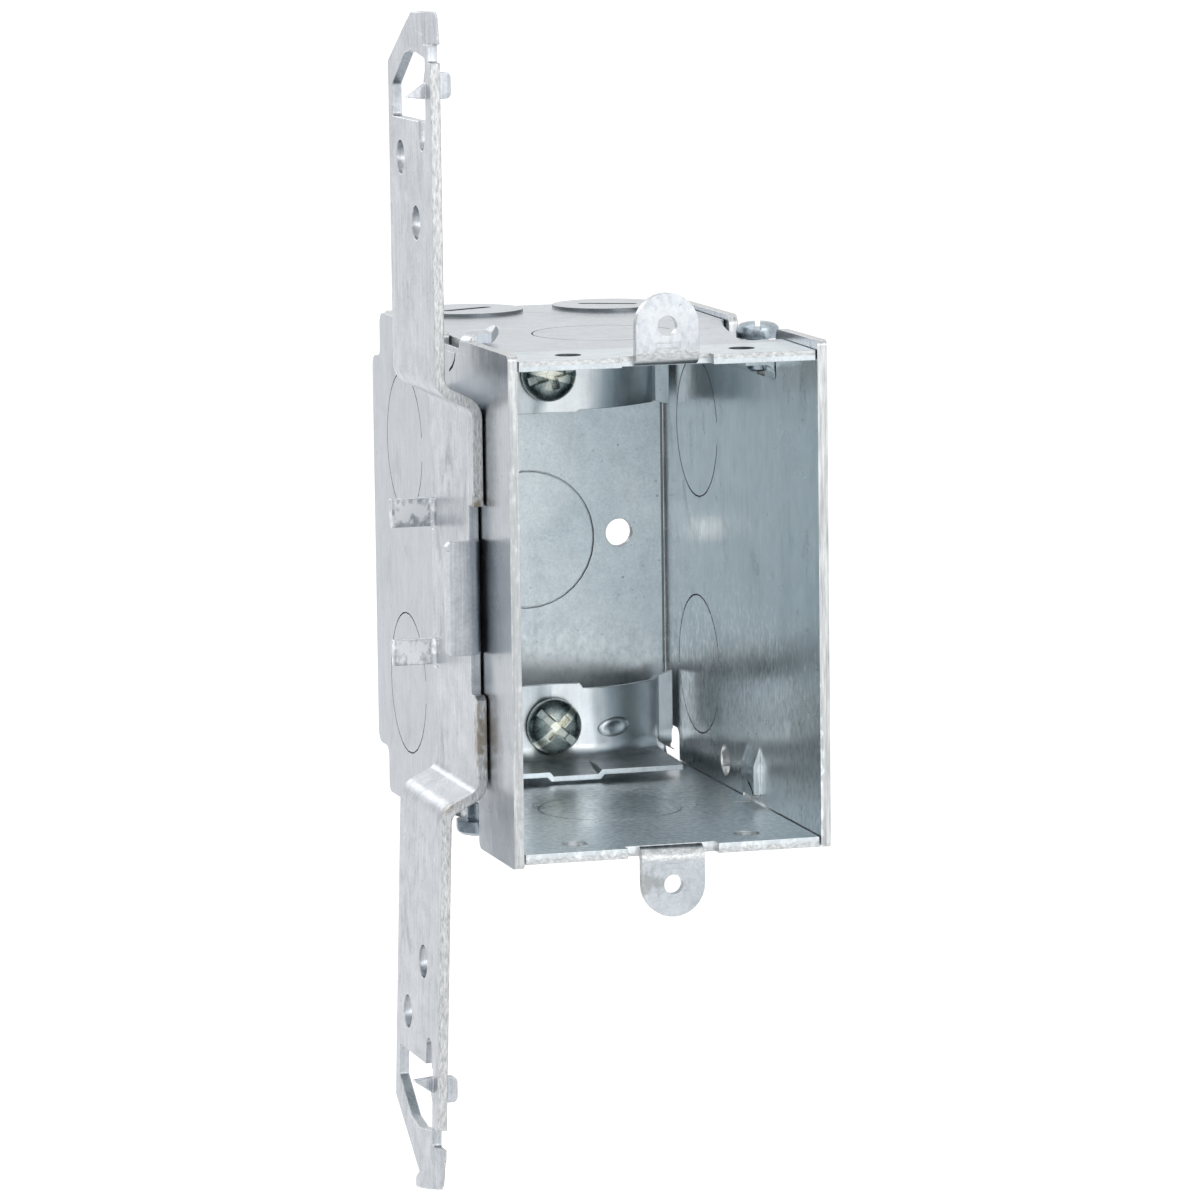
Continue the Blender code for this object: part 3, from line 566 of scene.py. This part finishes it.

# %% [markdown]
# ## The stud bracket
#
# The strap is handled most. It is duller, streaked along its length, and brown with dirt on its
# front edge below the middle and in the corners of its relief notches. The front flange is painted
# a little darker and bluer as painted shade, and the tips of both feet are bright.

# %% Strap sheet
STRAP_FRONT, STRAP_BACK = ("place", "Y", -13, -12.3), ("place", "Y", 12.3, 13)
LOOKS_WELL_FRONT, LOOKS_BACK = ("normal", "Y", -1.1, -0.75), ("normal", "Y", 0.75, 1.1)
BELOW_FLANGE, ABOVE_FLANGE = ("place", "Z", -140, -53.4), ("place", "Z", -36.2, 50)
bracket_sheet = zinc_sheet(
    "hot_dipped_zinc_strap",
    seed=3.0,
    outside=("#999FA5", "#D5D8DD"),
    inside=("#999FA5", "#D5D8DD"),
    cuts=[
        [LOOKS_WELL_FRONT, STRAP_FRONT, BELOW_FLANGE],
        [LOOKS_WELL_FRONT, STRAP_FRONT, ABOVE_FLANGE],
        [LOOKS_BACK, STRAP_BACK],
    ],
    torn=((0.3, 0.4, 1.2), 5.0, 0.85),
    gloss=(0.26, 0.38),
    cloud=10.0,
    grain=(0.5, 0.16),
    line=((0.4, 0.4, 18.0), 0.26),
    # a wide bright rim: rubbed edges and a painted highlight along the bends
    edge=(0.3, "#EDEEEF"),
    wave=0.14,
    smudge=0.55,
    patches=[
        ((6.2, -12.2, -65.0), (3.5, 1.6, 6.0), "#857A68", 0.75),  # brown, lower front edge
        ((5.7, -12.4, -30.6), (2.5, 1.6, 1.6), "#857A68", 0.8),  # brown, upper notch
        ((5.6, -12.0, -59.0), (2.5, 1.8, 1.4), "#A89F90", 0.7),  # brown, lower notch
        ((0.4, -11.8, -76.0), (3.0, 1.6, 1.6), "#8A8378", 0.55),  # brown, lower bend
        ((3.0, -12.6, -44.7), (3.0, 0.4, 8.6), "#A3B1B9", 0.6),  # front flange, painted shade: darker and bluer
        ((2.3, 11.5, -55.4), (5.0, 2.2, 3.0), "#FAFBFC", 1.0),  # tip of the lower foot
        ((2.3, 11.5, -34.0), (5.0, 2.2, 3.0), "#FAFBFC", 1.0),  # tip of the upper foot
    ],
)

# %% [markdown]
# ## The cable clamps
#
# The clamps are drawn over a punch, which stretches the coat and leaves it smoother and
# brighter, with soft waves. Their cut faces look up and down.

# %% Clamp sheet
LOOKS_UP, LOOKS_DOWN = ("normal", "Z", 0.75, 1.1), ("normal", "Z", -1.1, -0.75)
clamp_sheet = zinc_sheet(
    "drawn_zinc_clamps",
    seed=4.0,
    outside=("#CAD2D7", "#F1F5F7"),
    inside=("#CAD2D7", "#F1F5F7"),
    cuts=[[LOOKS_UP], [LOOKS_DOWN]],
    torn=((1.5, 0.5, 0.5), 4.0, 0.5),
    gloss=(0.27, 0.4),
    cloud=8.0,
    grain=(0.4, 0.1),
    line=((0.4, 0.4, 12.0), 0.14),
    edge=(0.2, "#E6E8EA"),
    wave=0.22,
    smudge=0.3,
)

# %% [markdown]
# ## The recess of a screw
#
# The screws are barrel plated. Their heads have dulled while the slot and the cross stay bright,
# and the driver has polished the slot most. The recess is found from the middle of the head,
# along axes turned as the screw is turned. A centre far behind all screws means no recess.

# %% Find slot and cross
SLOT_HALF, ARM_HALF, ARM_REACH, ARM_SHARE = 0.68, 0.7, 2.45, 0.3
NOWHERE = (0, 0, 500)


def recess_mask(tree, centre, turn):
    """1 in the slot and less in the other arm of the cross."""
    turned = {"Vector": place(tree), "Center": centre, "Axis": (0, 1, 0)}
    turned["Angle"] = math.radians(turn)
    local = add(tree, "VectorRotate", turned, rotation_type="AXIS_ANGLE")
    local = add(tree, "VectorMath", [local, centre], operation="SUBTRACT")
    local = add(tree, "VectorMath", [local], operation="ABSOLUTE")
    across = add(tree, "SeparateXYZ", [local], "X")
    along = add(tree, "SeparateXYZ", [local], "Z")
    slot = add(tree, "Math", [along, SLOT_HALF], operation="LESS_THAN")
    arm = add(tree, "Math", [across, ARM_HALF], operation="LESS_THAN")
    reach = add(tree, "Math", [along, ARM_REACH], operation="LESS_THAN")
    arm = add(tree, "Math", [arm, reach], operation="MULTIPLY")
    arm = add(tree, "Math", [arm, ARM_SHARE], operation="MULTIPLY")
    return add(tree, "Math", [slot, arm], operation="MAXIMUM")


print("a slot is %.2f mm wide, the cross arm %.1f mm long" % (2 * SLOT_HALF, 2 * ARM_REACH))

# %% [markdown]
# ## Zinc plated screws
#
# Plating mottles as it ages, so noise a millimetre or so wide picks between two greys, and
# sets the roughness. The bright recess has the faint straw tint of its chromate.

# %% Build a screw finish
MOTTLE_SIZE, MOTTLE_TO_TONE, MOTTLE_TO_ROUGH = (1.4, 1.4, 1.4), (0.35, 0.65), (0.2, 0.34)
STRAW, PALE_STRAW = "#DADCCB", "#F0F1E8"
SCREW_EDGE = 0.2
MOTTLE_SEED = 6


def plated_screw(name, head, sheen, centre=NOWHERE, turn=0.0):
    """Mottled plating on a head, with a bright recess."""
    material, tree = new_material(name)
    mottle = {"Vector": place(tree, MOTTLE_SIZE, MOTTLE_SEED), "Scale": 1.0, "Detail": 4.0}
    mottle = add(tree, "TexNoise", {**mottle, "Roughness": 0.65})
    tone = add(tree, "MapRange", [mottle, *MOTTLE_TO_TONE, 0.0, 1.0])
    dull = {SHARE: tone, UNDER: linear(head), OVER: linear(sheen)}
    dull = add(tree, "Mix", dull, **IN_COLOUR)
    bright = {SHARE: tone, UNDER: linear(STRAW), OVER: linear(PALE_STRAW)}
    bright = add(tree, "Mix", bright, **IN_COLOUR)
    mask = recess_mask(tree, centre, turn)
    inputs = {
        "Base Color": add(tree, "Mix", {SHARE: mask, UNDER: dull, OVER: bright}, **IN_COLOUR),
        "Metallic": 1.0,
        "Roughness": add(tree, "MapRange", [mottle, *MOST_NOISE, *MOTTLE_TO_ROUGH]),
        "Normal": soft_edges(tree, SCREW_EDGE)[0],
    }
    add(tree, "OutputMaterial", [add(tree, "BsdfPrincipled", inputs)])
    print("%s: %d nodes, turned %d degrees" % (name, len(tree.nodes), turn))
    return material


# %% [markdown]
# ## Four screws
#
# The clamp screws have dulled to a smoky grey, and each stopped at its own angle when it was
# driven. The side screws show the blue tint of their plating.

# %% Screw finishes
SMOKE, SMOKE_SHEEN = "#6F7A79", "#98A19F"
BLUE, BLUE_SHEEN = "#87949E", "#AFB9C0"
lower_clamp_zinc = plated_screw(
    "dulled_zinc_lower_clamp_screw", SMOKE, SMOKE_SHEEN, centre=(31.8, 0, -72.9), turn=42
)
upper_clamp_zinc = plated_screw(
    "dulled_zinc_upper_clamp_screw", SMOKE, SMOKE_SHEEN, centre=(31.7, 0, -16.9), turn=-16
)
left_side_zinc = plated_screw("blue_zinc_left_side_screw", BLUE, BLUE_SHEEN)
right_side_zinc = plated_screw("blue_zinc_right_side_screw", BLUE, BLUE_SHEEN)

# %% [markdown]
# ## Dress the solids
#
# Every solid wears one finish. A table keeps them in one place, so that a forgotten solid stops
# the script instead of staying plain.

# %% Dress every solid
FINISHES = {
    "box_body": body_sheet,
    "left_side_plate": plate_sheet,
    "right_side_plate": plate_sheet,
    "stud_bracket": bracket_sheet,
    "upper_cable_clamp": clamp_sheet,
    "lower_cable_clamp": clamp_sheet,
    "lower_clamp_screw": lower_clamp_zinc,
    "upper_clamp_screw": upper_clamp_zinc,
    "left_side_screw": left_side_zinc,
    "right_side_screw": right_side_zinc,
}
for name, obj in nodes.items():
    obj.data.materials.clear()
    obj.data.materials.append(FINISHES[name])
    print("%s wears %s" % (name, FINISHES[name].name))

# %% [markdown]
# ## Smooth bends
#
# Bends and rounds are made of short flats. Smooth shading joins them, while edges sharper than
# a limit stay crisp. A small geometry tree marks the edges by their angle, which keeps every
# vertex in its place.


# %% Smooth by angle
def smooth_group(limit):
    """Geometry nodes that shade smooth, apart from edges sharper than an angle in degrees."""
    group = bpy.data.node_groups.new("smooth_by_angle", "GeometryNodeTree")
    for way in ("INPUT", "OUTPUT"):
        group.interface.new_socket("Geometry", in_out=way, socket_type="NodeSocketGeometry")
    start = group.nodes.new("NodeGroupInput")
    angle = group.nodes.new("GeometryNodeInputMeshEdgeAngle")
    sharp = group.nodes.new("FunctionNodeCompare")
    sharp.operation = "GREATER_THAN"
    sharp.inputs[1].default_value = math.radians(limit)
    normals = group.nodes.new("GeometryNodeSetMeshNormal")
    end = group.nodes.new("NodeGroupOutput")
    group.links.new(start.outputs[0], normals.inputs["Mesh"])
    group.links.new(angle.outputs["Unsigned Angle"], sharp.inputs[0])
    group.links.new(sharp.outputs[0], normals.inputs["Edge Sharpness"])
    normals.inputs["Remove Custom"].default_value = True
    group.links.new(normals.outputs["Mesh"], end.inputs[0])
    print("%s: %d nodes" % (group.name, len(group.nodes)))
    return group


BEND_LIMIT = 28
smoothing = smooth_group(BEND_LIMIT)

# %% [markdown]
# ## Keep flat sheet flat
#
# Vertices that the solids hold twice are welded within half a thousandth of a millimetre, so
# that smoothing runs across them. Then larger faces weigh more in each normal than small ones,
# which keeps a shadow of the bend from spilling onto the flat.

# %% Weld, smooth and weigh
WELD_WITHIN, MOST_WEIGHT = 0.0005, 100
for obj in nodes.values():
    weld = obj.modifiers.new("weld", "WELD")
    weld.merge_threshold = WELD_WITHIN * MM
    obj.modifiers.new("smooth", "NODES").node_group = smoothing
    weighted = obj.modifiers.new("weighted", "WEIGHTED_NORMAL")
    weighted.keep_sharp = True
    weighted.weight = MOST_WEIGHT
print("bends below %d degrees are smooth on %d solids" % (BEND_LIMIT, len(nodes)))

# %% [markdown]
# ## Small pressed marks
#
# Five small forms are too fine for the solids: a pressed rectangle on each ear, an oval dimple on
# the lower clamp, and a thin lip at the relief of each side plate. Each is a small closed mesh
# that rides with the box. Those that lie on curved or sloping metal look for its surface with a
# ray from the front.

# %% A piece of the box
RAY_FROM = -100


def piece(name, points, faces, material):
    """A closed mesh from points in millimetres, fixed to the box."""
    mesh = bpy.data.meshes.new(name)
    mesh.from_pydata([[part * MM for part in point] for point in points], [], faces)
    shape = bmesh.new()
    shape.from_mesh(mesh)
    bmesh.ops.recalc_face_normals(shape, faces=shape.faces)
    shape.to_mesh(mesh)
    shape.free()
    mesh.materials.append(material)
    obj = bpy.data.objects.new(name, mesh)
    scene.collection.objects.link(obj)
    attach(obj, "root")
    print("%s: %d points, %d faces" % (name, len(points), len(faces)))
    return obj


def surface_y(node, x, z):
    """How far back the first surface of a solid lies, in millimetres, seen from the front."""
    start = Vector((x, RAY_FROM, z)) * MM
    hit, at, _, _ = nodes[node].ray_cast(start, (0, 1, 0))
    if not hit:
        raise ValueError("no surface of %s at %.1f, %.1f" % (node, x, z))
    return at.y / MM


print("rays start %d mm in front of the stud face's middle" % -RAY_FROM)

# %% [markdown]
# ## Rectangles on the ears
#
# Each ear shows a thin raised rectangle near its fold. Four loops of four corners make it: outer
# foot, crest, inner foot, and one sunk in the metal that closes it.

# %% Press the rectangles
MARK_WIDTH, MARK_HEIGHT, MARK_BEAD, MARK_RISE = 4.0, 1.15, 0.34, 0.09
MARK_FOOT, MARK_ROOT = -0.05, -0.15
MARK_LOOPS = [
    (0.0, MARK_FOOT), (MARK_BEAD / 2, MARK_RISE), (MARK_BEAD, MARK_FOOT), (MARK_BEAD / 2, MARK_ROOT)
]
CORNERS = ((-1, -1), (1, -1), (1, 1), (-1, 1))


def ear_mark(name, centre_x, centre_z):
    """A thin raised rectangle on an ear."""
    points = []
    for inset, rise in MARK_LOOPS:
        for side, level in CORNERS:
            x = centre_x + side * (MARK_WIDTH / 2 - inset)
            z = centre_z + level * (MARK_HEIGHT / 2 - inset)
            points.append((x, surface_y("box_body", x, z) - rise, z))
    faces = [
        (4 * a + i, 4 * a + (i + 1) % 4, 4 * b + (i + 1) % 4, 4 * b + i)
        for a, b in ((0, 1), (1, 2), (2, 3), (3, 0))
        for i in range(4)
    ]
    return piece(name, points, faces, body_sheet)


ear_mark("upper_ear_mark", 31.95, -6.6)
ear_mark("lower_ear_mark", 31.85, -84.2)

# %% [markdown]
# ## Dimple on the lower clamp
#
# An oval dimple grips the cable. Its rings follow the curved clamp: a shallow dish in the
# middle, a raised rim round it, and a skirt that sinks into the metal.

# %% Rings of the dimple
DIMPLE_AT, DIMPLE_REACH, DIMPLE_TILT = (42.0, -73.7), (3.0, 1.6), math.radians(3)
DIMPLE_DISH = [(0.05, 0.06), (0.25, 0.1), (0.45, 0.22)]
DIMPLE_RIM = [(0.6, 0.34), (0.75, 0.36), (0.9, 0.16)]
DIMPLE_SKIRT = [(1.0, -0.05), (0.9, -0.3), (0.05, -0.3)]
AROUND = 32


def dimple_ring(reach, rise):
    """Points round an oval that lies on the lower clamp."""
    points = []
    for step in range(AROUND):
        turn = 2 * math.pi * step / AROUND
        a, b = reach * DIMPLE_REACH[0] * math.cos(turn), reach * DIMPLE_REACH[1] * math.sin(turn)
        x = DIMPLE_AT[0] + a * math.cos(DIMPLE_TILT) - b * math.sin(DIMPLE_TILT)
        z = DIMPLE_AT[1] + a * math.sin(DIMPLE_TILT) + b * math.cos(DIMPLE_TILT)
        points.append((x, surface_y("lower_cable_clamp", x, z) - rise, z))
    return points


rings = [dimple_ring(*row) for row in DIMPLE_DISH + DIMPLE_RIM + DIMPLE_SKIRT]
print("%d rings of %d points" % (len(rings), AROUND))

# %% [markdown]
# ## Join the rings
#
# Each ring is bridged to the next with four sided faces, and the first and the last are capped.

# %% Close the dimple
points = [point for ring in rings for point in ring]
faces = [tuple(range(AROUND)), tuple((len(rings) - 1) * AROUND + i for i in range(AROUND))]
for first in range(len(rings) - 1):
    for i in range(AROUND):
        a, b = first * AROUND, (first + 1) * AROUND
        faces.append((a + i, a + (i + 1) % AROUND, b + (i + 1) % AROUND, b + i))
dimple = piece("lower_clamp_dimple", points, faces, clamp_sheet)
for face in dimple.data.polygons:
    face.use_smooth = True

# %% [markdown]
# ## Lips at the plates' reliefs
#
# Each side plate is notched where its flange bends. The solid's notch lets daylight through and
# the photograph shows none, so a thin strip inside the plate's thickness closes it.

# %% Close the reliefs
LIP_HALF_X, LIP_HALF_Z, LIP_START, LIP_END = 0.12, 0.95, 1.2, 13.4
LIP_OUT, LIP_UP = 24.3, 35.8


def relief_lip(name, x, z):
    """A thin strip of sheet inside the thickness of a side plate."""
    corners = [(side * LIP_HALF_X, level * LIP_HALF_Z) for side, level in CORNERS]
    points = [(x + dx, y, z + dz) for y in (LIP_START, LIP_END) for dx, dz in corners]
    faces = [(0, 1, 2, 3), (7, 6, 5, 4)]
    faces += [(i, (i + 1) % 4, 4 + (i + 1) % 4, 4 + i) for i in range(4)]
    return piece(name, points, faces, plate_sheet)


relief_lip("right_relief_lip", MIDDLE_X + LIP_OUT, MIDDLE_Z - LIP_UP)
relief_lip("left_relief_lip", MIDDLE_X - LIP_OUT, MIDDLE_Z + LIP_UP)

# %% [markdown]
# ## A white room
#
# The photograph has a white room. Camera, mirror and glass rays see white all round, while all
# other rays get a soft and plain light, so that the white background doesn't add any.

# %% White room
WHITE, SOFT_WHITE = (1, 1, 1, 1), "#FAFBFC"


def white_rays(tree):
    """1 for rays from the camera and for mirror and glass rays."""
    seen = add(tree, "LightPath", output="Is Camera Ray")
    for kind in ("Is Glossy Ray", "Is Transmission Ray"):
        inputs = [seen, add(tree, "LightPath", output=kind)]
        seen = add(tree, "Math", inputs, operation="MAXIMUM")
    return seen


world = bpy.data.worlds.new("studio")
world.use_nodes = True
tree = world.node_tree
tree.nodes.clear()
soft = add(tree, "Background", {"Color": linear(SOFT_WHITE), "Strength": 1.0})
white = add(tree, "Background", {"Color": WHITE, "Strength": 1.0})
add(tree, "OutputWorld", [add(tree, "MixShader", [white_rays(tree), soft, white])])
scene.world = world
print("%s: %d nodes" % (world.name, len(tree.nodes)))

# %% [markdown]
# ## Paper floor
#
# White paper lies well below the box and carries a soft shadow. It is matt, with a share of glow
# for the rays that should see white. From below it is clear, so that the underside of the box
# can be looked at.

# %% White paper
PAPER_WHITE, GLOW, GLOW_SHARE = "#F2F3F4", 1.2, 0.75
paper, tree = new_material("white_paper")
matt = add(tree, "BsdfDiffuse", {"Color": linear(PAPER_WHITE)})
glow = add(tree, "Emission", {"Color": WHITE, "Strength": GLOW})
share = add(tree, "Math", [white_rays(tree), GLOW_SHARE], operation="MULTIPLY")
sheet = add(tree, "MixShader", [share, matt, glow])
below = add(tree, "NewGeometry", output="Backfacing")
clear = add(tree, "BsdfTransparent")
add(tree, "OutputMaterial", [add(tree, "MixShader", [below, sheet, clear])])
print("%s: %d nodes" % (paper.name, len(tree.nodes)))

# %% [markdown]
# ## Lay the paper
#
# The sheet reaches so far that its edge doesn't show.

# %% Floor
FLOOR_Z, FLOOR_REACH = -0.26, 12
corners = [(side * FLOOR_REACH, level * FLOOR_REACH, 0) for side, level in CORNERS]
mesh = bpy.data.meshes.new("studio_floor")
mesh.from_pydata(corners, [], [(0, 1, 2, 3)])
mesh.materials.append(paper)
floor = bpy.data.objects.new("studio_floor", mesh)
floor.location.z = FLOOR_Z
scene.collection.objects.link(floor)
print("floor %.0f mm below the stud face" % (-FLOOR_Z / MM))

# %% [markdown]
# ## Softboxes
#
# Four soft lights give metal the gentle steps from bright to grey that show its shape. The
# strongest stands to the left, others in front and above, and a small one lifts the back. All aim
# at the middle of the box.

# %% Set up the lights
AIM_AT = Vector((0.03, 0.01, -0.045))


def softbox(name, place_at, size, watts):
    """A rectangular light, in metres, that faces the box."""
    lamp = bpy.data.objects.new(name, bpy.data.lights.new(name, "AREA"))
    lamp.data.shape = "RECTANGLE"
    lamp.data.size, lamp.data.size_y = size
    lamp.data.energy = watts
    lamp.location = place_at
    lamp.rotation_euler = (AIM_AT - Vector(place_at)).to_track_quat("-Z", "Y").to_euler()
    scene.collection.objects.link(lamp)
    print("%s: %.1f W on %.1f m2" % (name, watts, size[0] * size[1]))


softbox("left_softbox", (-0.9, -0.7, 0.8), (0.8, 0.8), 2.5)
softbox("front_softbox", (0.36, -1.03, 0.27), (0.8, 0.5), 2.2)
softbox("top_softbox", (0.0, 0.5, 1.1), (1.0, 0.7), 1.6)
softbox("back_softbox", (-0.25, 1.05, 0.33), (0.4, 0.3), 0.6)
